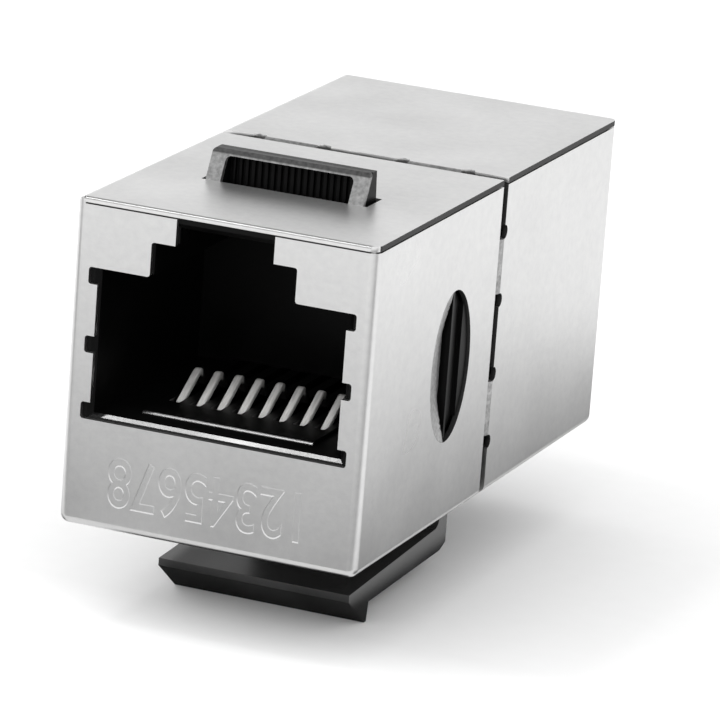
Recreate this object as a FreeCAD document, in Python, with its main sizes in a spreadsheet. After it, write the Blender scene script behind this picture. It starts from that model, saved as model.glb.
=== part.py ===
"""RJ45 inline coupler: two plug sockets back to back in a folded metal case.

The case is two folded boxes that meet at a seam round the middle.  Each holds a black moulded
socket with a contact carrier and eight sprung contacts, and all sixteen contacts end in one
circuit board at the seam.  A moulded latch under the case and a lanced ramp on its top clip the
coupler into a panel cut-out.

Frame: millimetres, +Z up.  The origin is the centre of the front socket's opening, on the front
face.  +Y runs through the coupler to the rear face and +X is to the right seen from the front.
"""
import FreeCAD
import Part
import Sketcher
import os

PARTS_FOLDER = "parts"
CONTACTS = 8
SHEET = "Sizes"

DRIVING_SIZES = (
    # the folded case
    ("shell_width", 14.5, "outer width of the case"),
    ("shell_height", 15.2, "outer height of the case"),
    ("shell_length", 30.0, "front face to rear face"),
    ("port_height", 8.55, "socket axis above the underside of the case"),
    ("sheet_thickness", 0.25, "sheet metal"),
    ("bend_radius", 0.45, "outer radius of the folds"),
    ("fold_gap", 0.07, "open joint where the top panel lies over its neighbours"),
    ("front_length", 15.0, "front face to the seam"),
    ("seam_gap", 0.6, "width of the seam"),
    # the stepped hole in each face
    ("port_wall", 1.25, "side of the case to the plug way"),
    ("port_depth", 7.0, "plug way, floor to the first step"),
    ("ear_wall", 0.8, "side of the case to the side notches"),
    ("ear_height", 0.78, "each side notch"),
    ("ear_level", -0.05, "middle side notch, above the axis"),
    ("step_width", 7.0, "hole above the first step"),
    ("clip_height", 1.3, "second step to the top panel"),
    ("clip_width", 4.72, "hole for the plug's clip"),
    ("corner_radius", 0.14, "blind corners of the hole"),
    # seam tabs of the rear box
    ("tab_width", 2.6, "bent tab at the seam"),
    ("tab_lip", 0.6, "flat end of a tab, past its bend"),
    ("tab_clearance", 0.05, "tab to the front box"),
    ("side_tab_spread", 6.8, "between the two tabs of a side"),
    ("side_tab_level", -0.95, "middle of the side tabs, above the axis"),
    ("top_tab_spread", 7.2, "between the two tabs on top"),
    ("relief_radius", 0.33, "round relief at each end of a tab"),
    # lanced ramp on the top panel
    ("ramp_start", 6.3, "front face to the foot of the ramp"),
    ("ramp_run", 0.7, "how far the ramp leans back"),
    ("ramp_rise", 1.38, "height of the ramp above the case"),
    ("ramp_width", 7.7, "across the ramp's legs"),
    ("ramp_skin", 0.28, "ramp's sheet, measured level"),
    ("ramp_leg", 0.72, "width of each leg"),
    ("ramp_bar", 0.27, "height of the bar across the top of the ramp"),
    ("ramp_round", 0.2, "outer top corners of the ramp"),
    ("window_round", 0.25, "top corners of the hole in the ramp"),
    ("ramp_root", 0.3, "solid sheet in front of the ramp's fold"),
    ("lance_gap", 0.2, "slot beside each leg"),
    ("lance_end", 0.8, "slot behind the ramp"),
    # pressed lens on each side of the front box
    ("lens_place", 9.9, "front face to the middle of the lens"),
    ("lens_level", -1.02, "middle of the lens, above the axis"),
    ("lens_length", 7.14, "tip to tip"),
    ("lens_width", 4.7, "across the lens"),
    ("dish_depth", 0.45, "pressed depth of the front half"),
    ("dish_draft", 1.9, "how much the dish narrows with depth"),
    ("dish_edge", 9.7, "front face to the cut edge of the dish"),
    # moulded sockets
    ("insert_clearance", 0.05, "moulding to sheet metal"),
    ("insert_round", 0.3, "outer edges of the moulding"),
    ("socket_depth", 11.8, "front face to the end of the plug way"),
    ("roof_wall", 0.5, "moulding above the clip way"),
    ("catch_front", 1.45, "front face to the clip's catch"),
    ("catch_depth", 9.0, "front face to the end of the clip way"),
    ("floor_lift", 0.22, "moulding's floor above the floor of the hole in the face"),
    ("mouth_chamfer", 0.24, "lead-in round the mouth"),
    # ribbed block under the ramp
    ("block_inset", 0.05, "side of the ramp to the side of the block behind it"),
    ("block_clearance", 0.12, "ramp to the block, measured level"),
    ("block_drop", 0.05, "top of the ramp to the top of the block"),
    ("block_gap", 0.1, "block to the rear end of the slot"),
    ("block_top", 0.45, "block's top, front to rear"),
    ("well_inset", 0.03, "well behind the ramp's legs"),
    ("well_roof", 0.3, "top of the ramp to the roof of the well"),
    ("well_place", 1.2, "foot of the ramp to the well's ribbed wall"),
    ("rib_pitch", 0.32, "spacing of the ribs"),
    ("rib_width", 0.16, "one rib"),
    ("rib_depth", 0.22, "how far a rib stands out"),
    # moulded lug in each lens
    ("lug_clearance", 0.12, "lug to the edge of the lens"),
    ("lug_sunk", 0.13, "lug's face below the case's side"),
    ("lug_gap", 0.25, "dish's cut edge to the lug"),
    ("lug_rim", 0.2, "rim in front of the lug's groove"),
    ("groove_width", 1.15, "groove in the lug"),
    ("groove_depth", 0.2, "groove in the lug"),
    ("dish_room", 0.1, "moulding to the dish"),
    # contact carrier and contacts
    ("carrier_width", 8.4, "contact carrier"),
    ("carrier_front", 1.6, "front face to the carrier"),
    ("carrier_top", -3.12, "carrier's top, above the axis"),
    ("carrier_bottom", -6.0, "carrier's underside, above the axis"),
    ("carrier_chamfer", 0.17, "carrier's front top edge"),
    ("slot_front", 3.75, "front face to the wire slots"),
    ("slot_width", 0.5, "one wire slot"),
    ("pin_pitch", 1.016, "spacing of the contacts"),
    ("wire_width", 0.34, "contact wire, across"),
    ("wire_thickness", 0.28, "contact wire, through"),
    ("upper_row", -4.6, "odd contacts' tails, above the axis"),
    ("lower_row", -5.6, "even contacts' tails, above the axis"),
    ("bend_place", 4.1, "front face to the contacts' front bend"),
    ("bend_level", -3.6, "where the spring starts to rise"),
    ("crest_place", 6.35, "front face to the contacts' crest"),
    ("crest_level", -2.2, "contacts' crest, above the axis"),
    ("tip_place", 6.95, "front face to the contacts' tips"),
    ("tip_level", -2.95, "contacts' tips, above the axis"),
    # circuit board
    ("board_thickness", 1.0, "circuit board"),
    ("board_side_room", 0.35, "board's side edges inside the moulding's sides"),
    ("board_end_room", 0.25, "board's top and bottom edges inside the moulding's"),
    ("board_hole", 0.3, "radius of a pin hole"),
    ("tail_inset", 0.1, "pin's end, inside the board's far face"),
    # panel latch
    ("latch_width", 9.5, "latch arm"),
    ("arm_front", 5.95, "front face to the latch's nose"),
    ("heel_place", 2.75, "seam to the latch's heel"),
    ("arm_drop", 2.8, "case to the arm's top, at the nose"),
    ("heel_drop", 2.3, "case to the arm's top, at the heel"),
    ("nose_height", 0.35, "upright front of the nose"),
    ("hook_drop", 4.65, "case to the lowest edge of the hook"),
    ("hook_front", 8.0, "front face to the hook's lowest edge"),
    ("hook_flat", 0.25, "flat on the hook's lowest edge"),
    ("hook_back", 8.4, "front face to the panel's seat behind the hook"),
    ("arm_thickness", 0.95, "arm behind the hook"),
    ("heel_height", 1.05, "heel, top to bottom"),
    ("heel_chamfer", 0.7, "slope under the heel"),
    ("neck_thickness", 1.0, "neck from the heel up into the case"),
    ("neck_round", 0.5, "inside corner of arm and neck"),
    ("bead_radius", 0.8, "round root that the neck hangs from"),
    ("bead_height", 1.15, "root's centre above the underside of the case"),
    ("bead_clearance", 0.06, "root to its seat"),
    ("latch_end_gap", 0.1, "each end of the latch to its slot"),
    ("neck_room", 0.22, "neck to the moulding's slot, each side"),
    ("case_slot_room", 0.35, "neck to the case's slot, each side"),
)


class Size:
    """A length in millimetres with the spreadsheet formula that gives it."""

    def __init__(self, number, formula=None):
        self.number = float(number)
        self.formula = repr(float(number)) if formula is None else formula

    def combined(self, sign, other, number):
        return Size(number, "(%s %s %s)" % (self.formula, sign, other.formula))

    def __add__(self, other):
        other = as_size(other)
        return self.combined("+", other, self.number + other.number)

    def __sub__(self, other):
        other = as_size(other)
        return self.combined("-", other, self.number - other.number)

    def __mul__(self, other):
        other = as_size(other)
        return self.combined("*", other, self.number * other.number)

    def __truediv__(self, other):
        other = as_size(other)
        return self.combined("/", other, self.number / other.number)

    def __neg__(self):
        return Size(-self.number, "(0 - %s)" % self.formula)


def smaller(first, second):
    """The smaller of two sizes."""
    return Size(min(first.number, second.number), "min(%s; %s)" % (first.formula, second.formula))


def as_size(value):
    """Take a plain number or a Size, and return a Size."""
    return value if isinstance(value, Size) else Size(value)


doc = FreeCAD.newDocument("inline_coupler")
size = {}
sub_parts = []


def fill_sheet():
    """Write the driving sizes into the document's spreadsheet, one alias a row."""
    sheet = doc.addObject("Spreadsheet::Sheet", SHEET)
    for row, (alias, number, meaning) in enumerate(DRIVING_SIZES, start=1):
        sheet.set("A%d" % row, meaning)
        sheet.set("B%d" % row, str(number))
        sheet.setAlias("B%d" % row, alias)
        size[alias] = Size(number, "%s.%s" % (SHEET, alias))
    doc.recompute()


def bind(target, prop, value):
    """Tie a property of an object to a size."""
    target.setExpression(prop, as_size(value).formula)


# ---------------------------------------------------------------- plain solids and booleans

def block(name, x, y, z):
    """Box between two sizes on each axis."""
    solid = doc.addObject("Part::Box", name)
    for prop, axis, (low, high) in (("Length", "x", x), ("Width", "y", y), ("Height", "z", z)):
        bind(solid, prop, as_size(high) - low)
        bind(solid, "Placement.Base.%s" % axis, low)
    return solid


def rod(name, axis, radius, start, length):
    """Cylinder along an axis, from its start point."""
    turns = {
        "x": FreeCAD.Rotation(FreeCAD.Vector(0, 1, 0), 90),
        "y": FreeCAD.Rotation(FreeCAD.Vector(1, 0, 0), -90),
        "z": FreeCAD.Rotation(),
    }
    solid = doc.addObject("Part::Cylinder", name)
    solid.Placement = FreeCAD.Placement(FreeCAD.Vector(), turns[axis])
    bind(solid, "Radius", radius)
    bind(solid, "Height", length)
    for letter, value in zip("xyz", start):
        bind(solid, "Placement.Base.%s" % letter, value)
    return solid


def fuse(name, pieces):
    """Union of several solids."""
    result = doc.addObject("Part::MultiFuse", name)
    result.Shapes = pieces
    return result


def cut(name, base, tools):
    """Base with every tool taken away."""
    result = doc.addObject("Part::Cut", name)
    result.Base = base
    result.Tool = tools[0] if len(tools) == 1 else fuse(name + "_tools", tools)
    return result


def common(name, first, second):
    """What two solids share."""
    result = doc.addObject("Part::Common", name)
    result.Base = first
    result.Tool = second
    return result


def mirrored(name, source):
    """Copy of a solid on the other side of the coupler's middle plane."""
    result = doc.addObject("Part::Mirroring", name)
    result.Source = source
    result.Normal = FreeCAD.Vector(1, 0, 0)
    return result


def lens(name, x, grow):
    """Upright ellipse in the plane at x, the size of the pressed lens plus grow all round."""
    curve = doc.addObject("Part::Ellipse", name)
    curve.Placement = FreeCAD.Placement(FreeCAD.Vector(), FreeCAD.Rotation(FreeCAD.Vector(0, 1, 0), -90))
    bind(curve, "MajorRadius", size["lens_length"] / 2 + grow)
    bind(curve, "MinorRadius", size["lens_width"] / 2 + grow)
    for letter, value in zip("xyz", (x, size["lens_place"], size["lens_level"])):
        bind(curve, "Placement.Base.%s" % letter, value)
    return curve


def lens_prism(name, inner, outer, grow):
    """Straight solid as wide as the lens plus grow, from the plane at inner to the one at outer."""
    result = doc.addObject("Part::Extrusion", name)
    result.Base = lens(name + "_outline", inner, grow)
    result.DirMode = "Custom"
    result.Dir = FreeCAD.Vector(1, 0, 0)
    result.Solid = True
    bind(result, "LengthFwd", outer - inner)
    return result


def lens_solid(name, outer, inner):
    """Solid between two lenses, each given as its x and its growth."""
    result = doc.addObject("Part::Loft", name)
    result.Sections = [lens(name + "_outer", *outer), lens(name + "_inner", *inner)]
    result.Solid = True
    return result


# ---------------------------------------------------------------- PartDesign features

def new_body(name):
    return doc.addObject("PartDesign::Body", name)


def sketch(body, role, name, offset=0.0):
    """Empty sketch on one of the body's origin planes, moved along the plane's normal."""
    result = body.newObject("Sketcher::SketchObject", name)
    plane = next(item for item in body.Origin.OriginFeatures if item.Role == role)
    result.AttachmentSupport = [(plane, "")]
    result.MapMode = "FlatFace"
    bind(result, "AttachmentOffset.Base.z", offset)
    return result


def pin_down(target, geometry, corner):
    """Fix the start point of a sketch line at a pair of sizes."""
    for kind, value in zip(("DistanceX", "DistanceY"), corner):
        value = as_size(value)
        rule = target.addConstraint(Sketcher.Constraint(kind, -1, 1, geometry, 1, value.number))
        bind(target, "Constraints[%d]" % rule, value)


def draw(target, corners, closed=True):
    """Draw straight lines through the corners, each corner tied to its sizes."""
    points = [FreeCAD.Vector(as_size(u).number, as_size(v).number, 0) for u, v in corners]
    count = len(points)
    lines = []
    for index in range(count if closed else count - 1):
        segment = Part.LineSegment(points[index], points[(index + 1) % count])
        lines.append(target.addGeometry(segment, False))
    for index, line in enumerate(lines):
        pin_down(target, line, corners[index])
        if closed or index + 1 < len(lines):
            following = lines[(index + 1) % len(lines)]
            target.addConstraint(Sketcher.Constraint("Coincident", line, 2, following, 1))
    if not closed:
        for kind, value in zip(("DistanceX", "DistanceY"), corners[-1]):
            value = as_size(value)
            rule = target.addConstraint(Sketcher.Constraint(kind, -1, 1, lines[-1], 2, value.number))
            bind(target, "Constraints[%d]" % rule, value)


def rectangle(left, right, low, high):
    return [(left, low), (right, low), (right, high), (left, high)]


def pad(body, profile, length, midplane=False):
    """Pad a sketch towards the rear, or equally to both sides of its plane."""
    feature = body.newObject("PartDesign::Pad", profile.Name + "_pad")
    feature.Profile = profile
    bind(feature, "Length", length)
    feature.Midplane = midplane
    feature.Reversed = not midplane
    doc.recompute()
    return feature


def pocket(body, profile, length):
    """Cut a sketch into the body towards the rear."""
    feature = body.newObject("PartDesign::Pocket", profile.Name + "_pocket")
    feature.Profile = profile
    bind(feature, "Length", length)
    doc.recompute()
    return feature


def edges_where(feature, test):
    """Names of the feature's edges whose bounding box passes the test."""
    found = []
    for number, edge in enumerate(feature.Shape.Edges, start=1):
        if test(edge.BoundBox):
            found.append("Edge%d" % number)
    return found


def dress_edges(body, kind, base, names, prop, amount):
    """Fillet or chamfer the named edges of a feature."""
    feature = body.newObject("PartDesign::" + kind, "%s_%s" % (base.Name, kind.lower()))
    feature.Base = (base, names)
    bind(feature, prop, amount)
    doc.recompute()
    return feature


def near(first, second):
    return abs(first - second) < 1e-4


# ---------------------------------------------------------------- shared places

def places():
    """Places that several pieces share, worked out from the driving sizes."""
    size["half_width"] = size["shell_width"] / 2
    size["case_bottom"] = -size["port_height"]
    size["case_top"] = size["shell_height"] - size["port_height"]
    size["under_top"] = size["case_top"] - size["sheet_thickness"]
    size["inner_half"] = size["half_width"] - size["sheet_thickness"]
    size["rear_length"] = size["shell_length"] - size["front_length"] - size["seam_gap"]
    size["tab_radius"] = size["seam_gap"] - size["tab_clearance"]
    size["insert_half"] = size["inner_half"] - size["insert_clearance"]
    size["insert_bottom"] = size["case_bottom"] + size["sheet_thickness"] + size["insert_clearance"]
    size["insert_top"] = size["under_top"] - size["insert_clearance"]
    size["port_width"] = size["shell_width"] - size["port_wall"] * 2
    size["ear_width"] = size["shell_width"] - size["ear_wall"] * 2
    size["port_floor"] = -size["port_depth"] / 2
    size["port_top"] = size["port_depth"] / 2
    size["clip_floor"] = size["under_top"] - size["clip_height"]
    size["clip_roof"] = size["insert_top"] - size["roof_wall"]
    half_step = (size["clip_floor"] - size["port_top"]) * 0.45
    size["hole_round"] = smaller(size["corner_radius"], half_step)
    size["mouth_lead"] = smaller(size["mouth_chamfer"], half_step)
    size["board_rear"] = size["front_length"]
    size["board_front"] = size["board_rear"] - size["board_thickness"]
    lips = size["front_length"] + size["tab_clearance"] + size["sheet_thickness"]
    size["rear_insert_end"] = size["shell_length"] - lips - size["insert_clearance"] * 2
    size["rear_tongue_end"] = size["shell_length"] - size["board_rear"] - size["insert_clearance"]
    size["tab_reach"] = size["tab_radius"] + size["tab_lip"] + size["insert_clearance"] * 2
    size["ramp_peak"] = size["case_top"] + size["ramp_rise"]
    size["ramp_rear"] = size["ramp_start"] + size["ramp_run"] + size["ramp_skin"]
    size["lance_rear"] = size["ramp_rear"] + size["lance_end"]
    size["window_half"] = size["ramp_width"] / 2 - size["ramp_leg"]
    size["arm_rear"] = size["front_length"] + size["heel_place"]
    size["neck_middle"] = size["arm_rear"] - size["neck_thickness"] / 2
    size["bead_level"] = size["case_bottom"] + size["bead_height"]


def finish(final, label, rear=False, shift=0.0):
    """Name a finished sub-part and place it, turned half round for the rear socket."""
    final.Label = label
    if rear:
        final.Placement = FreeCAD.Placement(
            FreeCAD.Vector(), FreeCAD.Rotation(FreeCAD.Vector(0, 0, 1), 180))
        bind(final, "Placement.Base.y", size["shell_length"])
        shift = -as_size(shift)
    bind(final, "Placement.Base.x", shift)
    sub_parts.append(final)


# ---------------------------------------------------------------- folded case

def face_hole():
    """Corners of the stepped hole that a plug and its clip go through."""
    port = size["port_width"] / 2
    ear = size["ear_width"] / 2
    step = size["step_width"] / 2
    clip = size["clip_width"] / 2
    floor = size["port_floor"]
    top = size["port_top"]
    middle = size["ear_level"]
    half_ear = size["ear_height"] / 2
    right = [
        (ear, floor), (ear, floor + size["ear_height"]),
        (port, floor + size["ear_height"]), (port, middle - half_ear),
        (ear, middle - half_ear), (ear, middle + half_ear),
        (port, middle + half_ear), (port, top - size["ear_height"]),
        (ear, top - size["ear_height"]), (ear, top),
        (step, top), (step, size["clip_floor"]),
        (clip, size["clip_floor"]), (clip, size["under_top"]),
    ]
    left = [(-x, z) for x, z in reversed(right)]
    return right + left


def folded_box(name, length, open_side):
    """Box of sheet metal, open at the rear; its top panel ends over the wall at open_side."""
    body = new_body(name)
    half = size["half_width"]
    inner = size["inner_half"]
    thick = size["sheet_thickness"]
    blank = sketch(body, "XZ_Plane", name + "_blank")
    draw(blank, rectangle(-half, half, size["case_bottom"], size["case_top"]))
    solid = pad(body, blank, length)
    reach = length.number
    top = size["case_top"].number

    def folds(limit, front, high):
        def test(box):
            along = box.YLength > reach / 2 and box.XLength < 1e-4 and near(abs(box.XMin), limit)
            if along:
                return not (near(box.ZMax, high) and box.XMin * open_side > 0)
            at_front = near(box.YMin, front) and near(box.YMax, front)
            upright = at_front and box.ZLength > top and near(abs(box.XMin), limit)
            across = at_front and box.XLength > limit and box.ZMax < 0
            return upright or across
        return test

    dress_edges(body, "Fillet", solid, edges_where(solid, folds(half.number, 0.0, top)),
                "Radius", size["bend_radius"])
    hollow = sketch(body, "XZ_Plane", name + "_hollow", -thick)
    draw(hollow, rectangle(-inner, inner, size["case_bottom"] + thick, size["under_top"]))
    hollowed = pocket(body, hollow, length)
    dress_edges(
        body, "Fillet", hollowed,
        edges_where(hollowed, folds(inner.number, thick.number, size["under_top"].number)),
        "Radius", size["bend_radius"] - thick)
    hole = sketch(body, "XZ_Plane", name + "_hole")
    draw(hole, face_hole())
    opened = pocket(body, hole, thick)

    def blind_corner(box):
        across = near(box.YLength, thick.number) and box.XLength < 1e-4 and box.ZLength < 1e-4
        at_ear = near(abs(box.XMin), size["ear_width"].number / 2)
        at_step = near(abs(box.XMin), size["step_width"].number / 2)
        return across and (at_ear or at_step)

    dress_edges(body, "Fillet", opened, edges_where(opened, blind_corner),
                "Radius", size["hole_round"])
    return body


def top_panel_joints(name, length, open_side):
    """Slots that part the top panel from the face plate and from the wall at open_side."""
    half = size["half_width"]
    gap_low = size["under_top"] - size["fold_gap"]
    attached = half - size["bend_radius"]
    if open_side > 0:
        across = (-attached, half + 1)
        wall = (size["inner_half"] - 0.01, half + 1)
    else:
        across = (-half - 1, attached)
        wall = (-half - 1, -size["inner_half"] + 0.01)
    over_face = block(name + "_face_joint", across, (-1, size["sheet_thickness"]),
                      (gap_low, size["under_top"]))
    over_wall = block(name + "_wall_joint", wall, (-1, length + 1), (gap_low, size["under_top"]))
    return [over_face, over_wall]


def ramp_lean(place, level):
    """Place on the ramp's slope at a level, for a slope that meets the case's top at place."""
    return place + (level - size["case_top"]) * size["ramp_run"] / size["ramp_rise"]


def ramp_frame():
    """Lanced ramp: two legs and a top bar, bent up steeply out of the top panel."""
    body = new_body("ramp")
    start = size["ramp_start"]
    behind = start + size["ramp_skin"]
    low = size["under_top"]
    top = size["case_top"]
    peak = size["ramp_peak"]
    side = sketch(body, "YZ_Plane", "ramp_side")
    root = start - size["ramp_root"]
    draw(side, [(root, low), (ramp_lean(behind, low), low), (ramp_lean(behind, peak), peak),
                (ramp_lean(start, peak), peak), (start, top), (root, top)])
    solid = pad(body, side, size["ramp_width"], midplane=True)

    def outer_corner(box):
        return near(box.ZMin, peak.number) and box.XLength < 1e-4

    dress_edges(body, "Fillet", solid, edges_where(solid, outer_corner), "Radius", size["ramp_round"])
    half = size["window_half"]
    lintel = peak - size["ramp_bar"]
    hole = sketch(body, "XZ_Plane", "ramp_window", -start)
    draw(hole, rectangle(-half, half, low - 1, lintel))
    opened = pocket(body, hole, size["ramp_rear"] - start + 1)

    def window_corner(box):
        return near(box.ZMin, lintel.number) and box.XLength < 1e-4 and box.ZLength < 1e-4

    dress_edges(body, "Fillet", opened, edges_where(opened, window_corner),
                "Radius", size["window_round"])
    return body


def ramp_slot():
    """Hole that the ramp leaves in the top panel, with a slot beside each leg."""
    half = size["ramp_width"] / 2 + size["lance_gap"]
    return block("ramp_slot", (-half, half), (size["ramp_start"], size["lance_rear"]),
                 (size["under_top"] - 0.1, size["case_top"] + 0.1))


def pressed_dish():
    """Front half of the side lens, pressed inwards: its skin, its hollow and the open rear half."""
    outside = size["half_width"]
    thick = size["sheet_thickness"]
    depth = size["dish_depth"]
    draft = size["dish_draft"]
    skin = lens_solid("dish_skin", (outside - thick / 2, draft / depth * thick / 2),
                      (outside - depth - thick, -draft))
    beyond = block("dish_beyond", (outside - 2, outside + 1), (size["dish_edge"], size["lens_place"] * 2),
                   (size["case_bottom"], size["case_top"]))
    skin = cut("dish_half", skin, [beyond])
    hollow = lens_solid("dish_hollow", (outside, 0.0), (outside - depth, -draft))
    hollow = cut("dish_hollow_half", hollow, [beyond])
    window = lens_prism("lens_window", outside - depth, outside + 0.5, 0.0)
    return skin, hollow, common("lens_window_half", window, beyond)


def front_shell():
    length = size["front_length"]
    box = folded_box("front_box", length, open_side=1)
    holed = cut("front_box_cut", box, top_panel_joints("front", length, 1) + [ramp_slot()])
    skin, hollow, window = pressed_dish()
    joined = fuse("front_shell_solid", [holed, ramp_frame(), skin, mirrored("dish_half_left", skin)])
    opened = cut("front_shell_opened", joined, [window, mirrored("lens_window_half_left", window)])
    final = cut("front_shell", opened, [hollow, mirrored("dish_hollow_half_left", hollow)])
    finish(final, "front_shell")


def side_tab(name, level):
    """Tab at the open end of a side wall: a quarter bend and a flat lip."""
    radius = size["tab_radius"]
    thick = size["sheet_thickness"]
    half = size["tab_width"] / 2
    length = size["rear_length"]
    axis_x = size["half_width"] - radius
    bend = rod(name + "_bend", "z", radius, (axis_x, length, level - half), size["tab_width"])
    bend.Angle = 90
    core = rod(name + "_core", "z", radius - thick, (axis_x, length, level - half - 1),
               size["tab_width"] + 2)
    lip = block(name + "_lip", (axis_x - size["tab_lip"], axis_x),
                (length + radius - thick, length + radius), (level - half, level + half))
    return fuse(name, [cut(name + "_quarter", bend, [core]), lip])


def top_tab(name, middle):
    """Tab at the open end of the top panel: a quarter bend and a flat lip."""
    radius = size["tab_radius"]
    thick = size["sheet_thickness"]
    half = size["tab_width"] / 2
    length = size["rear_length"]
    axis_z = size["case_top"] - radius
    bend = rod(name + "_bend", "x", radius, (middle + half, length, axis_z), size["tab_width"])
    bend.Placement.Rotation = FreeCAD.Rotation(FreeCAD.Vector(0, 1, 0), -90)
    bend.Angle = 90
    core = rod(name + "_core", "x", radius - thick, (middle - half - 1, length, axis_z),
               size["tab_width"] + 2)
    lip = block(name + "_lip", (middle - half, middle + half),
                (length + radius - thick, length + radius), (axis_z - size["tab_lip"], axis_z))
    return fuse(name, [cut(name + "_quarter", bend, [core]), lip])


def tab_middles():
    """Middles of the tabs: two heights on each side wall, two places on top."""
    sides = [size["side_tab_level"] + size["side_tab_spread"] / 2 * sign for sign in (-1, 1)]
    tops = [size["top_tab_spread"] / 2 * sign for sign in (-1, 1)]
    return sides, tops


def rear_shell():
    length = size["rear_length"]
    box = folded_box("rear_box", length, open_side=-1)
    half = size["half_width"]
    radius = size["relief_radius"]
    offset = size["tab_width"] / 2 + radius
    sides, tops = tab_middles()
    reliefs = []
    tabs = []
    for number, level in enumerate(sides, start=1):
        tab = side_tab("side_tab_%d" % number, level)
        tabs += [tab, mirrored("side_tab_%d_left" % number, tab)]
        for sign in (-1, 1):
            start = (-half - 1, length, level + offset * sign)
            reliefs.append(rod("side_relief_%d" % len(reliefs), "x", radius, start, half * 2 + 2))
    for number, middle in enumerate(tops, start=1):
        tabs.append(top_tab("top_tab_%d" % number, middle))
        for sign in (-1, 1):
            start = (middle + offset * sign, length, size["under_top"] - 1)
            reliefs.append(rod("top_relief_%d" % len(reliefs), "z", radius, start,
                               size["sheet_thickness"] + 2))
    neck = size["shell_length"] - size["neck_middle"]
    room = size["neck_thickness"] / 2 + size["case_slot_room"]
    reach = size["latch_width"] / 2 + size["latch_end_gap"]
    latch_slot = block("latch_slot", (-reach, reach), (neck - room, neck + room),
                       (size["case_bottom"] - 1, size["case_bottom"] + 1))
    joints = top_panel_joints("rear", length, -1)
    holed = cut("rear_box_cut", box, joints + reliefs + [latch_slot])
    final = fuse("rear_shell", [holed] + tabs)
    finish(final, "rear_shell", rear=True)


# ---------------------------------------------------------------- moulded sockets

def plug_way():
    """Corners of the stepped way that the plug slides along."""
    port = size["port_width"] / 2
    step = size["step_width"] / 2
    clip = size["clip_width"] / 2
    top = size["port_top"]
    floor = size["port_floor"] + size["floor_lift"]
    right = [(port, floor), (port, top), (step, top),
             (step, size["clip_floor"]), (clip, size["clip_floor"]),
             (clip, size["clip_roof"])]
    return right + [(-x, z) for x, z in reversed(right)]


def socket_moulding(name, end):
    """Moulded socket from the face plate back to end: plug way, clip catch and carrier bed."""
    body = new_body(name)
    half = size["insert_half"]
    front = size["sheet_thickness"]
    step = size["step_width"] / 2
    blank = sketch(body, "XZ_Plane", name + "_blank", -front)
    draw(blank, rectangle(-half, half, size["insert_bottom"], size["insert_top"]))
    solid = pad(body, blank, end - front)

    dress_edges(body, "Fillet", solid, edges_where(solid, lambda box: box.YLength > 1),
                "Radius", size["insert_round"])
    way = sketch(body, "XZ_Plane", name + "_way", -front)
    draw(way, plug_way())
    opened = pocket(body, way, size["socket_depth"] - front)

    def mouth_edge(box):
        at_front = near(box.YMin, front.number) and near(box.YMax, front.number)
        inside = max(abs(box.XMin), abs(box.XMax)) < size["port_width"].number / 2 + 0.01
        return at_front and inside and box.ZMin > size["port_floor"].number - 0.01

    dress_edges(body, "Chamfer", opened, edges_where(opened, mouth_edge),
                "Size", size["mouth_lead"])
    catch = sketch(body, "XZ_Plane", name + "_catch", -size["catch_front"])
    draw(catch, rectangle(-step, step, size["port_top"] - 0.1, size["clip_roof"]))
    pocket(body, catch, size["catch_depth"] - size["catch_front"])
    bed_half = size["carrier_width"] / 2
    bed = sketch(body, "XZ_Plane", name + "_bed", -size["carrier_front"])
    draw(bed, rectangle(-bed_half, bed_half, size["carrier_bottom"], size["carrier_top"]))
    pocket(body, bed, end - size["carrier_front"])
    return body


def ribbed_block():
    """Block that stands in the top panel's slot behind the ramp, with a ribbed wall in its well."""
    body = new_body("ribbed_block")
    behind = size["ramp_start"] + size["ramp_skin"] + size["block_clearance"]
    base = size["insert_top"] - 0.05
    crown = size["ramp_peak"] - size["block_drop"]
    front = ramp_lean(behind, base)
    brow = ramp_lean(behind, crown)
    side = sketch(body, "YZ_Plane", "block_side")
    draw(side, [(front, base), (size["lance_rear"] - size["block_gap"], base),
                (brow + size["block_top"], crown), (brow, crown)])
    pad(body, side, size["ramp_width"] - size["block_inset"] * 2, midplane=True)
    half = size["window_half"] + size["well_inset"]
    wall = size["ramp_start"] + size["well_place"]
    roof = size["ramp_peak"] - size["well_roof"]
    well = sketch(body, "XZ_Plane", "block_well", -(front - 0.1))
    draw(well, rectangle(-half, half, size["insert_top"], roof))
    pocket(body, well, wall - front + 0.1)
    rib = sketch(body, "XZ_Plane", "block_rib", -(wall - size["rib_depth"]))
    left = -half + size["rib_width"]
    draw(rib, rectangle(left, left + size["rib_width"], base, roof + 0.02))
    first = pad(body, rib, size["rib_depth"] + 0.02)
    span = half.number * 2 - size["rib_width"].number * 3
    copies = int(span / size["rib_pitch"].number) + 1
    pattern = body.newObject("PartDesign::LinearPattern", "block_ribs")
    pattern.Originals = [first]
    pattern.Direction = (rib, ["H_Axis"])
    pattern.Occurrences = copies
    bind(pattern, "Length", size["rib_pitch"] * (copies - 1))
    body.Tip = pattern
    doc.recompute()
    return body


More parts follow.
